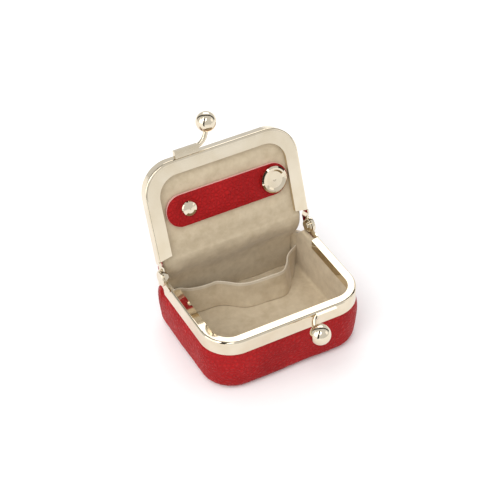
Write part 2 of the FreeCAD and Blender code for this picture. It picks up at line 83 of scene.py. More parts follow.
# a socket that can be used in arithmetic
class Value:
    def __init__(self, shade, socket):
        self.shade = shade
        self.socket = socket

    def maths(self, operation, a, b):
        return self.shade.add("ShaderNodeMath", {"operation": operation}, {0: a, 1: b})

    def __add__(self, other):
        return self.maths("ADD", self, other)

    def __radd__(self, other):
        return self.maths("ADD", other, self)

    def __sub__(self, other):
        return self.maths("SUBTRACT", self, other)

    def __rsub__(self, other):
        return self.maths("SUBTRACT", other, self)

    def __mul__(self, other):
        return self.maths("MULTIPLY", self, other)

    def __rmul__(self, other):
        return self.maths("MULTIPLY", other, self)

    def __pow__(self, other):
        return self.maths("POWER", self, other)


# one material and its nodes
class Shade:
    def __init__(self, name):
        self.material = bpy.data.materials.new(name)
        self.material.use_nodes = True
        self.tree = self.material.node_tree
        self.tree.nodes.clear()
        self.out = self.tree.nodes.new("ShaderNodeOutputMaterial")
        self.surface = self.tree.nodes.new("ShaderNodeBsdfPrincipled")
        self.tree.links.new(self.surface.outputs[0], self.out.inputs["Surface"])

    def plug(self, socket, value):
        if isinstance(value, Value):
            self.tree.links.new(value.socket, socket)
        else:
            socket.default_value = value

    def add(self, kind, settings=None, inputs=None, output=0):
        node = self.tree.nodes.new(kind)
        for key, value in (settings or {}).items():
            setattr(node, key, value)
        for key, value in (inputs or {}).items():
            self.plug(node.inputs[key], value)
        return Value(self, node.outputs[output])

    # the piece's own coordinates, in metres
    def point(self):
        return self.add("ShaderNodeTexCoord", output="Object")

    def noise(self, place, scale, detail=3.0, rough=0.5):
        return self.add("ShaderNodeTexNoise", None,
                        {"Vector": place, "Scale": scale, "Detail": detail, "Roughness": rough})

    def cells(self, place, scale, feature="F1"):
        return self.add("ShaderNodeTexVoronoi", {"feature": feature},
                        {"Vector": place, "Scale": scale}, "Distance")

    def mix(self, factor, a, b):
        return self.add("ShaderNodeMix", {"data_type": "RGBA"},
                        {"Factor": factor, 6: self.colour(a), 7: self.colour(b)}, 2)

    def colour(self, value):
        return value if isinstance(value, Value) else (*value, 1.0)

    # 0 at low, 1 at high, and never past either
    def clamp(self, value, low, high):
        return self.add("ShaderNodeMapRange", {"clamp": True}, {0: value, 1: low, 2: high})

    def bump(self, height, strength, distance):
        return self.add("ShaderNodeBump", None,
                        {"Height": height, "Strength": strength, "Distance": distance})

    # principled inputs by name, spaces written as underscores
    def set(self, **values):
        for key, value in values.items():
            if isinstance(value, tuple):
                value = self.colour(value)
            self.plug(self.surface.inputs[key.replace("_", " ")], value)
        return self.material


leatherLook = {
    # deep: colour of the painted shade in the creases between the pebbles
    "deep": (0.13, 0.002, 0.003),
    "body": (0.345, 0.004, 0.005),
    "worn": (0.47, 0.009, 0.010),
    "pebble": 640.0,          # pebbles per metre
    "roughness": 0.42,
    "warp": 0.0009,           # how far the pebbles wander, in metres
    "bump": 0.00028,
}


def makeLeather(look=leatherLook):
    shade = Shade("pebbledLeather")
    place = shade.point()
    warp = shade.add("ShaderNodeTexNoise", None, {"Vector": place, "Scale": 420.0, "Detail": 2.0}, "Color")
    warped = shade.add("ShaderNodeVectorMath", {"operation": "MULTIPLY_ADD"},
                       {0: warp, 1: (look["warp"],) * 3, 2: place})
    edge = shade.cells(warped, look["pebble"], "DISTANCE_TO_EDGE")
    fine = shade.cells(warped, look["pebble"] * 2.3, "F1")
    crease = shade.clamp(edge, 0.0, 0.42)
    patches = shade.noise(place, 60.0, 4.0, 0.6)
    speck = shade.noise(place, 2600.0, 2.0, 0.6)
    tone = shade.mix(shade.clamp(patches, 0.35, 0.68), look["body"], look["worn"])
    # painted shade: creases between the pebbles darkened towards deep, plus a little random fine speck
    tone = shade.mix(0.30 * (1.0 - crease) + 0.12 * speck, tone, look["deep"])
    height = crease ** 0.7 + 0.18 * (1.0 - fine) + 0.05 * speck
    rough = look["roughness"] + 0.16 * (1.0 - crease) + 0.10 * (patches - 0.5)
    normal = shade.bump(height, 0.9, look["bump"])
    return shade.set(Base_Color=tone, Roughness=rough, Normal=normal, Specular_IOR_Level=0.16)


def makeCutEdge():
    shade = Shade("rawLeatherEdge")
    place = shade.point()
    fibre = shade.noise(place, 2400.0, 4.0, 0.65)
    tone = shade.mix(fibre, (0.52, 0.16, 0.14), (0.86, 0.60, 0.55))
    return shade.set(Base_Color=tone, Roughness=0.85, Normal=shade.bump(fibre, 0.5, 0.0001))


suedeLook = {
    "dark": (0.37, 0.29, 0.185),
    "body": (0.58, 0.475, 0.325),
    "light": (0.71, 0.61, 0.455),
}
hemLook = {
    "dark": (0.50, 0.42, 0.31),
    "body": (0.64, 0.56, 0.44),
    "light": (0.76, 0.69, 0.57),
}


def makeSuede(name, look):
    shade = Shade(name)
    place = shade.point()
    nap = shade.noise(place, 330.0, 5.0, 0.62)
    brushed = shade.noise(place, 95.0, 3.0, 0.55)
    fibre = shade.noise(place, 3800.0, 3.0, 0.7)
    tone = shade.mix(shade.clamp(nap, 0.30, 0.70), look["dark"], look["light"])
    tone = shade.mix(0.62, tone, look["body"])
    tone = shade.mix(shade.clamp(brushed, 0.4, 0.72) * 0.35, tone, look["light"])
    tone = shade.mix(fibre * 0.22, tone, look["dark"])
    height = nap * 0.5 + fibre * 0.5
    return shade.set(Base_Color=tone, Roughness=0.93, Normal=shade.bump(height, 0.35, 0.00012),
                     Sheen_Weight=0.35, Sheen_Roughness=0.45, Specular_IOR_Level=0.25)


goldLook = {"bright": (0.77, 0.685, 0.545), "warm": (0.71, 0.615, 0.465), "roughness": 0.018}
nickelLook = {"bright": (0.86, 0.84, 0.79), "warm": (0.74, 0.71, 0.64), "roughness": 0.16}


def makeMetal(name, look):
    shade = Shade(name)
    place = shade.point()
    cloud = shade.noise(place, 140.0, 3.0, 0.5)
    scratch = shade.noise(place, 2200.0, 4.0, 0.7)
    tone = shade.mix(shade.clamp(cloud, 0.35, 0.7), look["bright"], look["warm"])
    rough = look["roughness"] + 0.02 * cloud + 0.02 * scratch
    return shade.set(Base_Color=tone, Metallic=1.0, Roughness=rough,
                     Normal=shade.bump(scratch, 0.04, 0.00003))


def makeBoard():
    shade = Shade("greyBoard")
    pulp = shade.noise(shade.point(), 900.0, 5.0, 0.7)
    tone = shade.mix(pulp, (0.36, 0.34, 0.31), (0.60, 0.57, 0.52))
    return shade.set(Base_Color=tone, Roughness=0.9, Normal=shade.bump(pulp, 0.4, 0.0001))


def makePaper():
    shade = Shade("kraftPaper")
    pulp = shade.noise(shade.point(), 1200.0, 5.0, 0.7)
    tone = shade.mix(pulp, (0.50, 0.37, 0.22), (0.74, 0.60, 0.42))
    return shade.set(Base_Color=tone, Roughness=0.85, Normal=shade.bump(pulp, 0.5, 0.0001))


def makeFoam():
    shade = Shade("creamFoam")
    place = shade.point()
    pores = shade.cells(place, 1500.0, "F1")
    tone = shade.mix(pores, (0.66, 0.62, 0.50), (0.88, 0.85, 0.74))
    return shade.set(Base_Color=tone, Roughness=0.95, Normal=shade.bump(pores, 0.6, 0.0002))


leatherMaterial = makeLeather()
edgeMaterial = makeCutEdge()
hemMaterial = makeSuede("suedeHem", hemLook)
suedeMaterial = makeSuede("suedeCloth", suedeLook)
goldMaterial = makeMetal("paleGold", goldLook)
nickelMaterial = makeMetal("brightNickel", nickelLook)
boardMaterial = makeBoard()
paperMaterial = makePaper()
foamMaterial = makeFoam()
print("materials ready")


def newPiece(name, mesh, materials):
    piece = bpy.data.objects.new(name, mesh)
    scene.collection.objects.link(piece)
    for material in materials:
        piece.data.materials.append(material)
    return piece


# piece from millimetre points and faces
def meshFrom(name, points, faces, materials, smooth=True):
    mesh = bpy.data.meshes.new(name)
    mesh.from_pydata([tuple(Vector(p) * mm) for p in points], [], faces)
    mesh.validate()
    if smooth:
        mesh.polygons.foreach_set("use_smooth", [True] * len(mesh.polygons))
    mesh.update()
    return newPiece(name, mesh, materials)


# smooth piece from a mesh edited in millimetres
def pieceFrom(name, mesh, materials):
    bmesh.ops.scale(mesh, vec=(mm, mm, mm), verts=mesh.verts[:])
    data = bpy.data.meshes.new(name)
    mesh.to_mesh(data)
    mesh.free()
    data.polygons.foreach_set("use_smooth", [True] * len(data.polygons))
    return newPiece(name, data, materials)


# quads of a grid whose points run row by row
def gridFaces(rows, columns, closed=False):
    faces = []
    last = columns if closed else columns - 1
    for r in range(rows - 1):
        for c in range(last):
            d = (c + 1) % columns
            a = r * columns
            b = (r + 1) * columns
            faces.append((a + c, a + d, b + d, b + c))
    return faces


def addModifier(piece, kind, **settings):
    modifier = piece.modifiers.new(kind.lower(), kind)
    for key, value in settings.items():
        setattr(modifier, key, value)
    return modifier


def applyModifiers(piece):
    bpy.context.view_layer.update()
    evaluated = piece.evaluated_get(bpy.context.evaluated_depsgraph_get())
    mesh = bpy.data.meshes.new_from_object(evaluated)
    old = piece.data
    piece.modifiers.clear()
    piece.data = mesh
    bpy.data.meshes.remove(old)
    return piece


# points and outward normals round a rounded rectangle, starting at the back's middle
def outline(halfX, yFront, yBack, rFront, rBack, step):
    pieces = []
    corners = [(halfX, yBack, rBack, 90, 0), (halfX, yFront, rFront, 0, -90),
               (-halfX, yFront, rFront, -90, -180), (-halfX, yBack, rBack, 180, 90)]
    cursor = Vector((0.0, yBack))
    for x, y, r, a0, a1 in corners:
        cx = x - math.copysign(r, x)
        cy = y - (r if y == yBack else -r)
        first = Vector((cx + r * math.cos(math.radians(a0)), cy + r * math.sin(math.radians(a0))))
        pieces.append(("line", cursor, first, a0))
        pieces.append(("arc", Vector((cx, cy)), r, a0, a1))
        cursor = Vector((cx + r * math.cos(math.radians(a1)), cy + r * math.sin(math.radians(a1))))
    pieces.append(("line", cursor, Vector((0.0, yBack)), 90))
    result = []
    for part in pieces:
        if part[0] == "line":
            a, b, angle = part[1:]
            count = max(2, round((b - a).length / step))
            normal = Vector((math.cos(math.radians(angle)), math.sin(math.radians(angle))))
            for k in range(count):
                result.append((a.lerp(b, k / count), normal))
        else:
            centre, r, a0, a1 = part[1:]
            count = max(4, round(r * math.radians(abs(a1 - a0)) / step))
            for k in range(count):
                angle = math.radians(a0 + (a1 - a0) * k / count)
                normal = Vector((math.cos(angle), math.sin(angle)))
                result.append((centre + normal * r, normal))
    return result


def smoothStep(x, low, high):
    t = min(1.0, max(0.0, (x - low) / (high - low)))
    return t * t * (3 - 2 * t)


# smooth value through (place, value) stops
def curve(stops, x):
    if x <= stops[0][0]:
        return stops[0][1]
    for (x0, y0), (x1, y1) in zip(stops, stops[1:]):
        if x <= x1:
            t = (x - x0) / (x1 - x0)
            return y0 + (y1 - y0) * t * t * (3 - 2 * t)
    return stops[-1][1]


grain = {"size": 1.25, "strapSize": 1.15, "wander": 0.55, "wanderSize": 2.6, "steepness": 2.2,
         "middle": 0.6, "seed": 1}
noise.seed_set(grain["seed"])       # the same pebbles on every run


# height of the leather's pebbles, about 0 to 1 before its middle is taken off
def pebble(point, size=grain["size"]):
    place = point / size + noise.noise_vector(point / grain["wanderSize"]) * grain["wander"]
    distances = noise.voronoi(place)[0]
    return min(1.0, (distances[1] - distances[0]) * grain["steepness"]) - grain["middle"]


# make a closed mesh's faces all look outwards
def turnOutwards(piece):
    shell = bmesh.new()
    shell.from_mesh(piece.data)
    bmesh.ops.recalc_face_normals(shell, faces=shell.faces[:])
    shell.to_mesh(piece.data)
    shell.free()


# evenly spaced points along a smooth curve through the stops, and the curve's length
def sampled(stops, count):
    dense = []
    ends = [stops[0] * 2 - stops[1]] + list(stops) + [stops[-1] * 2 - stops[-2]]
    for p0, p1, p2, p3 in zip(ends, ends[1:], ends[2:], ends[3:]):
        for k in range(40):
            t = k / 40
            dense.append(0.5 * (2 * p1 + (p2 - p0) * t + (2 * p0 - 5 * p1 + 4 * p2 - p3) * t * t
                                + (3 * p1 - p0 - 3 * p2 + p3) * t ** 3))
    dense.append(stops[-1].copy())
    lengths = [0.0]
    for a, b in zip(dense, dense[1:]):
        lengths.append(lengths[-1] + (b - a).length)
    result = []
    j = 0
    for k in range(count):
        target = lengths[-1] * k / (count - 1)
        while j < len(dense) - 2 and lengths[j + 1] < target:
            j += 1
        span = lengths[j + 1] - lengths[j]
        result.append(dense[j].lerp(dense[j + 1], (target - lengths[j]) / span if span else 0.0))
    return result, lengths[-1]


def thicken(piece, thickness, offset=-1.0, rim=None):
    settings = {"thickness": thickness * mm, "offset": offset}
    if rim is not None:
        settings["material_offset_rim"] = rim
    addModifier(piece, "SOLIDIFY", **settings)
    return applyModifiers(piece)


def faceArea(piece):
    return sum(face.area for face in piece.data.polygons)


trayShape = {"frontRadius": 11.85, "backRadius": 8.1, "foot": 3.6, "sideBelly": 1.5, "frontBelly": 0.75,
             "backBelly": 1.2, "grainDepth": 0.10, "sway": 0.25, "swaySize": 15.0, "step": 0.4,
             "thickness": 0.8, "turnIn": 7.9, "wallRows": 56, "footRows": 14, "underRows": 8}


# height of the tray's rim, which drops beside the hinge and again at the back
def rimTop(y):
    return rimZ + curve([(flangeEndY + 0.9, -1.3), (hinge.y - 3.8, -2.7), (hinge.y + 1.0, -2.8),
                         (hinge.y + 6.0, -6.7)], y)


# the wall's fullness from the frame's skirt, 0, to the floor, 1, fullest above the middle
def swell(share):
    return math.sin(math.pi * share ** 0.62) ** 0.9


def makeTrayLeather(shape=trayShape):
    ring = outline(trayHigh.x, trayLow.y, trayHigh.y, shape["frontRadius"], shape["backRadius"],
                   shape["step"])
    foot = shape["foot"]
    wallRows, footRows, underRows = shape["wallRows"], shape["footRows"], shape["underRows"]
    skirtZ = rimZ - frameFit["skirt"] - frameFit["closingGap"]
    points = []
    for row in range(wallRows + footRows + underRows + 1):
        for place, normal in ring:
            top = rimTop(place.y)
            belly = (shape["sideBelly"] * normal.x ** 2 + shape["backBelly"] * max(normal.y, 0) ** 2
                     + shape["frontBelly"] * min(normal.y, 0) ** 2)
            free = min(top, skirtZ) if place.y < hinge.y else top
            if row <= wallRows:
                z = top + (foot - top) * row / wallRows
                u = min(1.0, max(0.0, (free - z) / free))
                inset = -belly * swell(u) if u > 0 else 0.0
                angle = 0.0
            elif row <= wallRows + footRows:
                angle = (row - wallRows) / footRows * math.pi / 2
                u = (free - foot * (1 - math.sin(angle))) / free
                inset = foot * (1 - math.cos(angle)) - belly * swell(u)
                z = foot * (1 - math.sin(angle))
            else:
                t = (row - wallRows - footRows) / underRows
                angle = math.pi / 2
                inset = foot + (shape["turnIn"] - foot) * t
                z = 0.0
            flat = place - normal * inset
            point = Vector((flat.x, flat.y, z))
            fade = smoothStep(free - z, 0.0, 1.2) * smoothStep(z, 0.1, 1.5)
            sway = noise.noise(point / shape["swaySize"]) * shape["sway"]
            push = (sway + shape["grainDepth"] * pebble(point)) * fade
            out = Vector((normal.x * math.cos(angle), normal.y * math.cos(angle), -math.sin(angle)))
            point += out * push
            point.z = max(point.z, 0.0)
            points.append(point)
    rows = wallRows + footRows + underRows + 1
    faces = gridFaces(rows, len(ring), True)
    piece = meshFrom("trayLeather", points, faces, [leatherMaterial, edgeMaterial])
    thicken(piece, shape["thickness"], -1.0, 1)
    return standIn(piece, "case", ["base_leather"])


# a soft piece takes the place of its plain CAD solids; one given no body is attached to none
def standIn(piece, body, replaced):
    if body:
        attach(piece, body)
    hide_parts(*replaced)
    return piece


bottomShape = {"grainDepth": 0.05, "step": 0.8, "thickness": 0.7, "edge": 0.35, "frontRadius": 3.9,
               "backRadius": 1.0, "rows": 26, "edgeRows": 4}


def makeBottomPanel(shape=bottomShape):
    low, high = boxOf("base_bottom_leather")
    ring = outline(high.x, low.y, high.y, shape["frontRadius"], shape["backRadius"], shape["step"])
    centre = Vector((0, (low.y + high.y) / 2))
    points = []
    rows, edgeRows = shape["rows"], shape["edgeRows"]
    for row in range(rows):
        t = row / (rows - 1)
        for place, normal in ring:
            if row <= edgeRows:
                angle = row / edgeRows * math.pi / 2
                flat = place - normal * shape["edge"] * (1 - math.cos(angle))
                z = shape["edge"] * (1 - math.sin(angle))
            else:
                inner = place - normal * shape["edge"]
                flat = centre + (inner - centre) * (1 - (row - edgeRows) / (rows - edgeRows))
                z = 0.0
            dip = shape["grainDepth"] * (1 - grain["middle"] - pebble(Vector((flat.x, flat.y, 0))))
            points.append(Vector((flat.x, flat.y, z + dip * smoothStep(t, 0.1, 0.25))))
    points.append(Vector((centre.x, centre.y, 0.0)))
    faces = gridFaces(rows, len(ring), True)
    last = (rows - 1) * len(ring)
    faces += [(last + k, last + (k + 1) % len(ring), len(points) - 1) for k in range(len(ring))]
    piece = meshFrom("bottomPanel", points, faces, [leatherMaterial, edgeMaterial])
    thicken(piece, shape["thickness"], -1.0, 1)
    return standIn(piece, "case", ["base_bottom_leather"])


liningShape = {"step": 0.55, "frontRadius": 7.95, "backRadius": 2.6, "fillet": 1.6, "wave": 0.22,
               "thickness": 0.38, "depth": 2.4, "wallRows": 30, "filletRows": 7, "floorRows": 34}
# (outwards, up) where the cloth turns over the free rim behind the frame's ends
rimTurn = [(2.15, -1.3), (2.2, -0.7), (2.2, 0.1), (2.05, 0.45), (1.5, 0.55), (0.7, 0.5), (0.15, 0.3)]


# wall and floor in one glued cloth, with a soft fold at the floor
def makeTrayLining(shape=liningShape):
    inner = shape["depth"]
    halfX, yFront, yBack = trayHigh.x - inner, trayLow.y + inner, trayHigh.y - inner
    ring = outline(halfX, yFront, yBack, shape["frontRadius"], shape["backRadius"], shape["step"])
    floorZ, fillet = inner, shape["fillet"]
    centre = Vector((0, 2.0))
    wallRows, filletRows, floorRows = shape["wallRows"], shape["filletRows"], shape["floorRows"]
    points = []
    for out, rise in rimTurn:
        for place, normal in ring:
            bare = smoothStep(place.y, flangeEndY - 0.2, flangeEndY + 0.9)
            flat = place + normal * out * bare
            points.append(Vector((flat.x, flat.y, rimTop(place.y) + (rise + 0.35) * bare - 0.35)))
    for row in range(wallRows + filletRows + floorRows):
        for place, normal in ring:
            top = rimTop(place.y) - 0.4
            if row <= wallRows:
                z = top + (floorZ + fillet - top) * row / wallRows
                flat, out = place, Vector((normal.x, normal.y, 0))
                fade = smoothStep(rimZ - 3.9 - z, 0.0, 2.0)
            elif row <= wallRows + filletRows:
                angle = (row - wallRows) / filletRows * math.pi / 2
                flat = place - normal * fillet * (1 - math.cos(angle))
                z = floorZ + fillet * (1 - math.sin(angle))
                out = Vector((normal.x * math.cos(angle), normal.y * math.cos(angle), -math.sin(angle)))
                fade = 1.0
            else:
                t = (row - wallRows - filletRows) / floorRows
                edge = place - normal * fillet
                flat = centre + (edge - centre) * (1 - t)
                z, out, fade = floorZ, Vector((0, 0, -1)), 1.0
            point = Vector((flat.x, flat.y, z))
            wave = noise.noise(point / 9.0) * shape["wave"]
            wave += noise.noise(point / 3.1) * shape["wave"] * 0.3
            point -= out * (wave + shape["wave"]) * fade
            points.append(point)
    points.append(Vector((centre.x, centre.y, floorZ + shape["wave"])))
    rows = len(rimTurn) + wallRows + filletRows + floorRows
    faces = gridFaces(rows, len(ring), True)
    last = (rows - 1) * len(ring)
    faces += [(last + k, last + (k + 1) % len(ring), len(points) - 1) for k in range(len(ring))]
    faces = [tuple(reversed(face)) for face in faces]
    piece = meshFrom("trayLining", points, faces, [suedeMaterial])
    thicken(piece, shape["thickness"])
    standIn(piece, "case", ["base_lining", "floor_lining"])
    return piece


dividerShape = {"foot": 2.75, "height": 13.1, "lean": 3.0, "thickness": 0.55, "columns": 190, "rows": 26,
                "hemRows": 3, "wave": 0.35, "edge": 0.16}
# (across, back) along the foot of the pocket's wall
dividerPlan = [(-29.0, 22.6), (-25.5, 22.7), (-23.0, 22.2), (-20.0, 20.2), (-15.7, 19.3), (-9.3, 18.9),
               (-6.1, 16.9), (-1.5, 13.3), (4.4, 11.7), (11.0, 11.35), (16.8, 11.6), (20.5, 15.0),
               (23.4, 18.9), (29.0, 22.6)]


# soft cloth wall with hem cloth on its top rows, bellying forward from the back corners
def makeDivider(shape=dividerShape):
    centre, length = sampled([Vector((x, y, 0.0)) for x, y in dividerPlan], shape["columns"])
    foot = shape["foot"]
    points = []
    for row in range(shape["rows"]):
        t = row / (shape["rows"] - 1)
        for k, place in enumerate(centre):
            s = k / (shape["columns"] - 1)
            ends = smoothStep(min(s, 1 - s), 0.0, 0.10)
            before, after = centre[max(k - 1, 0)], centre[min(k + 1, len(centre) - 1)]
            along = (after - before).normalized()
            across = Vector((along.y, -along.x, 0))
            z = foot + (shape["height"] - foot) * t
            z += shape["wave"] * noise.noise(Vector((s * 7.0, 3.0, 0))) * t
            lean = Vector((0, -1, 0)) * shape["lean"] * (1 - t) ** 1.5 * ends
            sway = shape["wave"] * noise.noise(Vector((s * 9.0, t * 2.0, 5.0))) * ends
            point = place + across * sway + lean
            point.z = z
            points.append(point)
    rows, columns = shape["rows"], shape["columns"]
    piece = meshFrom("pocketDivider", points, gridFaces(rows, columns), [suedeMaterial, hemMaterial])
    for face in piece.data.polygons:
        if face.index // (columns - 1) >= rows - 1 - shape["hemRows"]:
            face.material_index = 1
    area = faceArea(piece)
    addModifier(piece, "SOLIDIFY", thickness=shape["thickness"] * mm, offset=0.0)
    addModifier(piece, "BEVEL", width=shape["edge"] * mm, segments=2, limit_method="ANGLE")
    applyModifiers(piece)
    standIn(piece, "case", ["pocket_divider"])
    tall = area / (length * mm)
    length * mm
    tall * 1.001
    return piece


lidShape = {"frontRadius": 11.85, "hiddenRadius": 7.0, "hiddenReach": 14.0, "round": 4.2, "height": 8.5,
            "skirt": 1.3, "dome": 0.8, "thickness": 0.8, "grainDepth": 0.10, "step": 0.5, "wallRows": 7,
            "roundRows": 14, "topRows": 64}
boardShape = {"depth": 0.9, "spare": 0.15, "thickness": 1.0}
spineShape = {"halfWidth": 29.8, "rows": 34, "pucker": 0.35, "reach": 2.2}
lidCut = hinge.y - 1.0       # back edge of the shut lid
# the soft spine's course from the lid's back edge to the tray's rim, as (behind, above) the hinge
spineCourse = [(7.36, -1.54), (7.5, -2.5), (9.0, -3.25), (11.6, -3.6), (13.3, -4.4), (13.0, -5.7),
               (11.0, -6.5), (9.6, -7.1), (9.3, -7.8)]


# the lid's layers step in beside the hinge, and their lower edge is raised there
hingeRelief = {"first": 1.95, "second": 1.4, "corner": 2.2, "from": 18, "to": 28, "lift": 3.4,
               "backLift": 1.4}


def sideRelief(y):
    first = hingeRelief["first"] * smoothStep(y, flangeEndY - 2.2, flangeEndY - 0.9)
    return first + hingeRelief["second"] * smoothStep(y, flangeEndY - 0.4, flangeEndY + 1)


def steppedIn(x, relief):
    return x - math.copysign(relief * smoothStep(abs(x), hingeRelief["from"], hingeRelief["to"]), x)


# the shut lid's dome, an even depth under its outer face and stepped in by a little more
def lidShell(shape, depth, spare):
    top, turn = lidPlane + shape["height"] - depth, shape["round"] - depth
    ring = outline(trayHigh.x - depth, trayLow.y + depth, lidCut + shape["hiddenReach"],
                   shape["frontRadius"] - depth, shape["hiddenRadius"], shape["step"])
    start, wallTop = lidPlane + shape["skirt"] + depth, top - turn
    wallRows, roundRows, topRows = shape["wallRows"], shape["roundRows"], shape["topRows"]
    profile = [(0.0, start + (wallTop - start) * k / wallRows) for k in range(wallRows + 1)]
    for k in range(1, roundRows + 1):
        angle = k / roundRows * math.pi / 2
        profile.append((turn * (1 - math.cos(angle)), wallTop + turn * math.sin(angle)))
    rows = [[Vector((*(p - n * inset), z)) for p, n in ring] for inset, z in profile]
    centre = Vector((0.0, -2.0))
    for k in range(1, topRows):
        share = 1 - k / topRows
        rows.append([Vector((*(centre + (p - n * turn - centre) * share), top)) for p, n in ring])
    mesh = bmesh.new()
    grid = [[mesh.verts.new(p) for p in row] for row in rows]
    for near, far in zip(grid, grid[1:]):
        for c in range(len(ring)):
            d = (c + 1) % len(ring)
            mesh.faces.new((near[c], near[d], far[d], far[c]))
    mesh.faces.new(grid[-1])
    geometry = mesh.verts[:] + mesh.edges[:] + mesh.faces[:]
    bmesh.ops.bisect_plane(mesh, geom=geometry, plane_co=(0, lidCut - depth, 0), plane_no=(0, 1, 0),
                           clear_outer=True)
    for v in mesh.verts:
        spread = 1 - (v.co.x / 32) ** 2
        v.co.z += shape["dome"] * spread * smoothStep(v.co.z, top - 1.5, top) * smoothStep(v.co.y, -27, -8)
        high = smoothStep(v.co.z, lidPlane + 1.9, lidPlane + 6.9)
        corner = hingeRelief["corner"] * smoothStep(v.co.y, flangeEndY - 4, lidCut) * high
        v.co.x = steppedIn(v.co.x, sideRelief(v.co.y) + corner + spare)
        backLift = hingeRelief["backLift"] * smoothStep(v.co.y, flangeEndY + 0.6, lidCut - 2)
        lowest = lidPlane + hingeRelief["lift"] + backLift + depth
        if v.co.z < lowest:
            v.co.z += (lowest - v.co.z) * 0.95 * smoothStep(v.co.y, flangeEndY - 1.4, flangeEndY + 0.2)
    return mesh


# the stiff board under the lid's leather, with its back corners cut in
def makeLidBoard(shape=boardShape):
    mesh = lidShell(lidShape, shape["depth"], shape["spare"])
    bmesh.ops.recalc_face_normals(mesh, faces=mesh.faces[:])
    if max(mesh.faces, key=lambda f: f.calc_center_median().z).normal.z < 0:
        bmesh.ops.reverse_faces(mesh, faces=mesh.faces[:])
    mesh.transform(lidOpen)
    piece = pieceFrom("lidBoard", mesh, [boardMaterial])
    thicken(piece, shape["thickness"], -1.0, 0)
    return standIn(piece, "lid", ["lid_board"])


# evenly spaced points along a course told from the hinge axis
def fromHinge(course, count):
    return sampled([Vector((0, hinge.y + y, hinge.z + z)) for y, z in course], count)[0]


# rows of the soft spine, hung from the lid's back edge and gathered to its own width at the tray
def addSpine(mesh, edge, shape):
    course = fromHinge(spineCourse, shape["rows"])
    widest = max(v.co.x for v in edge)
    starts = [v.co.copy() for v in edge]
    previous = edge
    for k in range(1, len(course)):
        t = k / (len(course) - 1)
        row = []
        for p in starts:
            offset = p - course[0]
            width = 1 + (shape["halfWidth"] / widest - 1) * t
            pucker = noise.noise(Vector((p.x / 5.0, t * 2.0, 9.0))) * math.sin(math.pi * t)
            q = course[k] + Vector((p.x * width, offset.y * (1 - t) ** 2, offset.z * (1 - t) ** 2))
            q.y += shape["pucker"] * pucker
            row.append(mesh.verts.new(q))
        for a, b, c, d in zip(previous, previous[1:], row[1:], row):
            mesh.faces.new((a, b, c, d))
        previous = row


# domed cover in one hide with the soft spine that folds at the hinge
def makeLidLeather(shape=lidShape):
    lidShut = lidOpen.inverted()
    mesh = lidShell(shape, 0.0, 0.0)
    mesh.transform(lidOpen)
    spineTop = lidPlane + shape["height"] - spineShape["reach"]
    shut = [(v, lidShut @ v.co) for v in mesh.verts]
    edge = [v for v, place in shut if abs(place.y - lidCut) < 1e-3 and place.z > spineTop]
    edge.sort(key=lambda v: v.co.x)
    addSpine(mesh, edge, spineShape)
    bmesh.ops.recalc_face_normals(mesh, faces=mesh.faces[:])
    mesh.normal_update()
    if max(mesh.verts, key=lambda v: v.co.y).normal.y < 0:
        bmesh.ops.reverse_faces(mesh, faces=mesh.faces[:])
        mesh.normal_update()
    for v in mesh.verts:
        place = lidShut @ v.co
        fade = smoothStep(place.z, lidPlane + 4.3, lidPlane + 5.2) if place.y < lidCut else 1.0
        if any(e.is_boundary for e in v.link_edges):
            fade = 0.0
        v.co += v.normal * shape["grainDepth"] * pebble(v.co) * fade
    piece = pieceFrom("lidLeather", mesh, [leatherMaterial, edgeMaterial])
    thicken(piece, shape["thickness"], -1.0, 1)
    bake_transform(piece)
    return standIn(piece, None, ["lid_leather", "back_leather"])


strapPlace = {"left": -25.5, "right": 26.3, "y": hinge.y - 23.75, "front": lidPlane + 0.45,
              "back": lidPlane + 1.85, "rivet": -16.1, "snap": 20.2, "flex": -12.0, "width": 13.0}
lidLiningShape = {"columns": 150, "flatRows": 76, "hungRows": 70, "face": 1.9, "front": 41.6, "back": 6.0,
                  "halfWidth": 30.15, "corner": 10.15, "cornerFront": 41.95, "hungHalf": 29.8,
                  "footHalf": 27.2, "puff": 0.85, "wave": 0.30, "crease": 0.5, "tuck": 0.6,
                  "ripple": 0.22, "thickness": 0.38}
# the lining's course from the lid, past the hinge and down the rear wall, as (behind, above) the hinge
liningCourse = [(2.80, 5.37), (2.5, 4.2), (2.4, 2.3), (2.75, 0.1), (3.7, -2.6), (5.1, -5.3), (6.1, -7.9),
                (6.5, -10.5), (6.55, -14.0), (6.5, -18.5), (6.45, -22.9)]


# distance from the strap's outline, negative inside it
def strapDistance(x, y):
    s = strapPlace
    r = s["width"] / 2
    cx = min(max(x, s["left"] + r), s["right"] - r)
    return math.hypot(x - cx, y - s["y"]) - r


# how far the padded lining swells towards the opening, in the closed lid's plan
def liningLift(x, y):
    edge = min(26.9 - abs(x), y + 21.2)
    swell = smoothStep(strapDistance(x, y), 0.0, 6.5) * smoothStep(edge, -0.5, 5.5)
    place = Vector((x, y, 0.0))
    wave = noise.noise(place / 11.0) + 0.45 * noise.noise(place / 4.6 + Vector((7, 3, 1)))
    wave *= smoothStep(strapDistance(x, y), 0.0, 3.0) * smoothStep(edge, 0.0, 3.0)
    return lidLiningShape["puff"] * swell + lidLiningShape["wave"] * wave


def liningHalfWidth(y):
    r, half = lidLiningShape["corner"], lidLiningShape["halfWidth"]
    reach = y - hinge.y + lidLiningShape["cornerFront"]
    if reach < r:
        return half - r + math.sqrt(max(0.0, r * r - (r - reach) ** 2))
    return half - 0.35 * smoothStep(y, flangeEndY - 2.4, flangeEndY - 1.0)


# the cloth lies a little nearer the left hinge
def leftReach(share):
    return -0.7 * smoothStep(-share, 0.6, 1.0)


# the cloth's side edges roll back
def turnedEdge(share):
    return 1.1 * max(0.0, (abs(share) - 0.965) / 0.035) ** 2


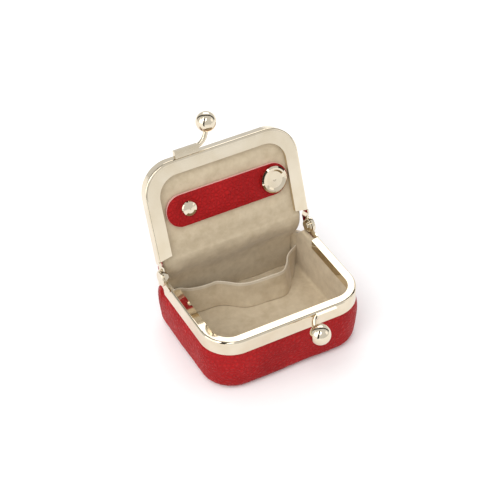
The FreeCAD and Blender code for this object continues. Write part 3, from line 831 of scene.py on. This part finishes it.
# lid lining and the soft back in one cloth, from the lid's front edge to the tray's rear wall
def makeLidLining(shape=lidLiningShape):
    low = lidPlane + shape["face"]
    front, back = hinge.y - shape["front"], hinge.y - shape["back"]
    flatRows = shape["flatRows"]
    rows = []
    for k in range(flatRows):
        y = front + (back - front) * k / (flatRows - 1)
        half = liningHalfWidth(y)
        row = []
        for c in range(shape["columns"] + 1):
            share = 2 * c / shape["columns"] - 1
            x = half * share + leftReach(share) * smoothStep(y, flangeEndY - 1.0, flangeEndY + 1.0)
            lift = liningLift(x, y) * (1 - smoothStep(y, back - 11.0, back))
            lift -= turnedEdge(share) * smoothStep(y, flangeEndY - 2.0, flangeEndY)
            row.append(lidOpen @ Vector((x, y, low - lift)))
        rows.append(row)
    course = fromHinge(liningCourse, shape["hungRows"])
    for p in course[1:]:
        drop = hinge.z - p.z
        half = shape["hungHalf"] - (shape["hungHalf"] - shape["footHalf"]) * smoothStep(drop, 5.0, 8.2)
        free = smoothStep(drop, -5.4, -1.0) * (1 - smoothStep(drop, 7.0, 12.0))
        row = []
        for c in range(shape["columns"] + 1):
            s = 2 * c / shape["columns"] - 1
            x = half * s + leftReach(s) * (1 - smoothStep(drop, 3.0, 8.0))
            slant = abs(x) / 6.0 + drop / 7.0
            crease = noise.noise(Vector((x / 10.0, drop / 9.0, 2.0)))
            crease += 0.6 * noise.noise(Vector((slant, x / 14.0, 8.0)))
            corner = math.exp(-((abs(s) - 0.84) / 0.10) ** 2) * smoothStep(drop, -3.0, 2.0)
            push = shape["crease"] * crease * free - shape["tuck"] * corner * free
            ripple = noise.noise(Vector((x / 8.0, drop / 8.0, 5.0)))
            push += shape["ripple"] * ripple * smoothStep(drop, 8.0, 12.0) - 0.12
            push += turnedEdge(s) * (1 - smoothStep(drop, 5.0, 9.0))
            row.append(Vector((x, p.y + push, p.z)))
        rows.append(row)
    columns = shape["columns"] + 1
    faces = gridFaces(len(rows), columns)
    piece = meshFrom("lidLining", [p for row in rows for p in row], faces, [suedeMaterial])
    thicken(piece, shape["thickness"], 1.0)
    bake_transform(piece)
    standIn(piece, None, ["lid_lining", "back_lining"])
    return piece


padShape = {"frontRadius": 9.6, "hiddenRadius": 5.0, "edge": 1.1, "lump": 0.12, "backGap": 1.4,
            "spare": 1.0, "step": 0.9, "edgeRows": 6, "flatRows": 24}


# the foam pad between the board and the lining, with its edges rounded over
def makePadding(shape=padShape):
    places = [lidOpen.inverted() @ (v.co / mm) for v in nodes["lid_padding"].data.vertices]
    low, high = (Vector(pick(p[k] for p in places) for k in range(3)) for pick in (min, max))
    back = high.y - shape["backGap"]
    ring = outline(high.x, low.y, back, shape["frontRadius"], shape["hiddenRadius"], shape["step"])
    centre = Vector((0.0, (low.y + high.y) / 2))
    half = (high.z - low.z) / 2
    edge = min(shape["edge"], half)
    turns = [k / shape["edgeRows"] * math.pi for k in range(shape["edgeRows"] + 1)]
    flat = [k / shape["flatRows"] for k in range(1, shape["flatRows"])]
    layers = [(edge, share, -half) for share in flat]
    layers += [(edge * (1 - math.sin(turn)), 1.0, half * -math.cos(turn)) for turn in turns]
    layers += [(edge, share, half) for share in reversed(flat)]
    points = []
    for inset, share, z in layers:
        for p, n in ring:
            q = centre + (p - n * inset - centre) * share
            x = steppedIn(q.x, sideRelief(q.y) + shape["spare"])
            lump = shape["lump"] * noise.noise(Vector((x, q.y, z)) / 2.2)
            points.append(lidOpen @ Vector((x, q.y, low.z + half + z * (1 + lump))))
    count = len(ring)
    faces = gridFaces(len(layers), count, True)
    faces.append(tuple(range(count)))
    faces.append(tuple((len(layers) - 1) * count + k for k in reversed(range(count))))
    piece = meshFrom("lidPadding", points, faces, [foamMaterial])
    turnOutwards(piece)
    standIn(piece, "lid", ["lid_padding"])
    return piece


strapShape = {"step": 0.42, "corner": 0.30, "faceRows": 16, "cornerRows": 4, "deepest": 6.44, "puff": 0.28,
              "dimple": 0.12, "fray": 0.05, "rivetReach": 3.3, "snapReach": 5.6, "flexReach": 1.9,
              "grainDepth": 0.085, "ends": 0.01}


def makeStrap(shape=strapShape):
    s = strapPlace
    length, width = s["right"] - s["left"], s["width"]
    middle = Vector(((s["right"] + s["left"]) / 2, s["y"]))
    half = width / 2
    ring = outline(length / 2, -half, half, half - shape["ends"], half - shape["ends"], shape["step"])
    corner, deepest, front, back = shape["corner"], shape["deepest"], s["front"], s["back"]
    faceRows, cornerRows = shape["faceRows"], shape["cornerRows"]
    rows = []
    for k in range(faceRows):
        rows.append((deepest + (corner - deepest) * k / (faceRows - 1), front, "face"))
    for k in range(1, cornerRows + 1):
        angle = k / cornerRows * math.pi / 2
        rows.append((corner * (1 - math.sin(angle)), front + corner * (1 - math.cos(angle)), "edge"))
    rows += [(0.0, (front + back) / 2, "edge"), (0.0, back - 0.25, "edge"), (0.08, back - 0.07, "edge")]
    rows += [(inset, back, "back") for inset in (0.25, 3.0, deepest)]
    points = []
    for inset, z, kind in rows:
        for p, n in ring:
            q = middle + p - n * inset
            point = Vector((q.x, q.y, z))
            if kind == "face":
                near = min(math.hypot(q.x - s["rivet"], q.y - s["y"]) - shape["rivetReach"],
                           math.hypot(q.x - s["snap"], q.y - s["y"]) - shape["snapReach"])
                lift = shape["puff"] * smoothStep(inset, 0.2, 3.0) * smoothStep(near, 0.0, 3.0)
                lift -= shape["dimple"] * (1 - smoothStep(near, 0.0, 1.6))
                bead = shape["grainDepth"] * pebble(point, grain["strapSize"])
                point.z -= lift + bead * smoothStep(inset, 0.3, 0.7) * smoothStep(near, 0.0, 0.6)
            if kind == "edge":
                point.x += shape["fray"] * noise.noise(point / 1.1)
                point.y += shape["fray"] * noise.noise(point / 1.3 + Vector((4, 4, 4)))
            points.append(lidOpen @ point)
    count = len(ring)
    faces = gridFaces(len(rows), count, True)
    right = max(range(count), key=lambda k: ring[k][0].x)
    # each flat side is closed by a ladder across the strap
    for base, flip in ((0, False), ((len(rows) - 1) * count, True)):
        for j in range(count // 2):
            a, b = base + (right - j) % count, base + (right - j - 1) % count
            c, d = base + (right + j + 1) % count, base + (right + j) % count
            face = [a, b, c, d] if flip else [d, c, b, a]
            faces.append(tuple(dict.fromkeys(face)))
    faces = [face for face in faces if len(face) > 2]
    piece = meshFrom("ringStrap", points, faces, [leatherMaterial, edgeMaterial])
    turnOutwards(piece)
    for face in piece.data.polygons:
        row = face.index // count
        if faceRows < row < len(rows) - 1 and rows[row + 1][2] == "edge":
            face.material_index = 1
    start = lidOpen @ Vector((s["flex"] - shape["flexReach"], s["y"], back))
    end = lidOpen @ Vector((s["flex"] + shape["flexReach"], s["y"], back))
    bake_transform(piece)
    return standIn(piece, None, ["ring_strap_root", "ring_strap"])


# give the kept hard pieces their materials
def dressNodes():
    looks = {"red_leather": leatherMaterial, "pale_gold": goldMaterial, "nickel": nickelMaterial,
             "suede_cloth": suedeMaterial, "grey_board": boardMaterial, "paper_cord": paperMaterial,
             "foam": foamMaterial}
    for row in frame["record"]["subparts"]:
        node = nodes[row["node"]]
        node.data.materials.clear()
        node.data.materials.append(looks[row["material_slot"]])


dressNodes()
makeTrayLeather()
makeBottomPanel()
print("tray leather ready")
makeTrayLining()
makeDivider()
print("tray lining ready")
makeLidLeather()
makeLidBoard()
print("lid leather ready")
makeLidLining()
makePadding()
print("lid lining ready")
makeStrap()
print("strap ready")


cameraView = {"azimuth": -27.54, "elevation": 41.14, "roll": -1.19, "distance": 595.7, "lens": 113.16,
              "aim": (-0.47, 5.96, 35.52)}


def makeCamera(look=cameraView):
    azimuth, elevation, roll = (math.radians(look[k]) for k in ("azimuth", "elevation", "roll"))
    back = Vector((math.sin(azimuth) * math.cos(elevation), -math.cos(azimuth) * math.cos(elevation),
                   math.sin(elevation)))
    level = Vector((math.cos(azimuth), math.sin(azimuth), 0.0))
    up = back.cross(level)
    right = level * math.cos(roll) + up * math.sin(roll)
    up = back.cross(right)
    data = bpy.data.cameras.new("camera")
    data.lens = look["lens"]
    data.sensor_width = 36.0
    data.clip_start = 0.05
    data.clip_end = 10.0
    camera = bpy.data.objects.new("camera", data)
    scene.collection.objects.link(camera)
    turn = Matrix((right, up, back)).transposed().to_4x4()
    spot = (Vector(look["aim"]) + back * look["distance"]) * mm
    camera.matrix_world = Matrix.Translation(spot) @ turn
    scene.camera = camera


def makeFloor():
    shade = Shade("paleFloor")
    speck = shade.noise(shade.point(), 300.0, 2.0, 0.5)
    tone = shade.mix(speck, (0.96, 0.96, 0.96), (0.985, 0.985, 0.98))
    material = shade.set(Base_Color=tone, Roughness=0.8, Specular_IOR_Level=0.2)
    reach, drop = 3000, 0.05
    corners = [(x * reach, y * reach, -drop) for x, y in ((-1, -1), (1, -1), (1, 1), (-1, 1))]
    floor = meshFrom("floor", corners, [(0, 1, 2, 3)], [material], False)


# name: (place, size, radiance, colour)
studio = {
    "leftSoftbox": ((-930, -60, 470), (900, 820), 1.25, (1.0, 0.995, 0.98)),
    "rightSoftbox": ((760, -520, 420), (420, 520), 0.55, (1.0, 0.97, 0.92)),
    "backSoftbox": ((330, 640, 640), (640, 420), 1.6, (1.0, 0.995, 0.98)),
}
# courses of the dark strips that the metal mirrors, with their width as a share of their distance
strips = {
    "frontStrip": ([(-160, -130, 2), (-450, -365, 2), (-720, -583, 2), (-770, -620, 190),
                    (-700, -560, 520), (-470, -380, 830), (-160, -60, 960)], 0.27),
    "overheadStrip": ([(1000, -50, 25), (930, 10, 390), (660, 110, 760), (135, 259, 960), (-260, 520, 830),
                       (-460, 800, 420), (-500, 880, 25)], 0.25),
}


def aimAt(thing, place, target=Vector((0, 0, 35))):
    thing.location = Vector(place) * mm
    thing.rotation_euler = (target - Vector(place)).to_track_quat("-Z", "Y").to_euler()


softSun = {"strength": 1.1, "softness": 45, "place": (-450, -350, 900)}


def makeLights(lights=studio):
    for name, (place, size, radiance, colour) in lights.items():
        data = bpy.data.lights.new(name, "AREA")
        data.shape = "RECTANGLE"
        data.size, data.size_y = size[0] * mm, size[1] * mm
        data.energy = radiance * math.pi * data.size * data.size_y
        data.color = colour
        lamp = bpy.data.objects.new(name, data)
        scene.collection.objects.link(lamp)
        aimAt(lamp, place)
    sun = bpy.data.lights.new("softSun", "SUN")
    sun.energy = softSun["strength"]
    sun.angle = math.radians(softSun["softness"])
    lamp = bpy.data.objects.new("softSun", sun)
    scene.collection.objects.link(lamp)
    aimAt(lamp, softSun["place"])


# dark ribbons seen only in the metal
def makeStrips():
    shade = Shade("darkCard")
    fleck = shade.noise(shade.point(), 200.0, 2.0, 0.5)
    tone = shade.mix(fleck, (0.016, 0.011, 0.007), (0.026, 0.018, 0.012))
    material = shade.set(Base_Color=tone, Roughness=0.9)
    middle = Vector((0, 0, 40))
    rows = 60
    for name, (course, share) in strips.items():
        places = sampled([Vector(p) for p in course], rows)[0]
        points = []
        for k, place in enumerate(places):
            along = places[min(k + 1, rows - 1)] - places[max(k - 1, 0)]
            away = place - middle
            side = along.cross(away).normalized() * away.length * share / 2
            points += [place - side, place + side]
        strip = meshFrom(name, points, gridFaces(rows, 2), [material])
        strip.visible_camera = False
        strip.visible_diffuse = False
        strip.visible_shadow = False


def makeWorld():
    world = bpy.data.worlds.new("studioWorld")
    scene.world = world
    world.use_nodes = True
    background = world.node_tree.nodes["Background"]
    background.inputs["Color"].default_value = (0.97, 0.975, 0.98, 1.0)
    background.inputs["Strength"].default_value = 0.80


makeFloor()
makeLights()
makeStrips()
makeWorld()
makeCamera()
print("studio ready")
scene.view_settings.view_transform = "Standard"
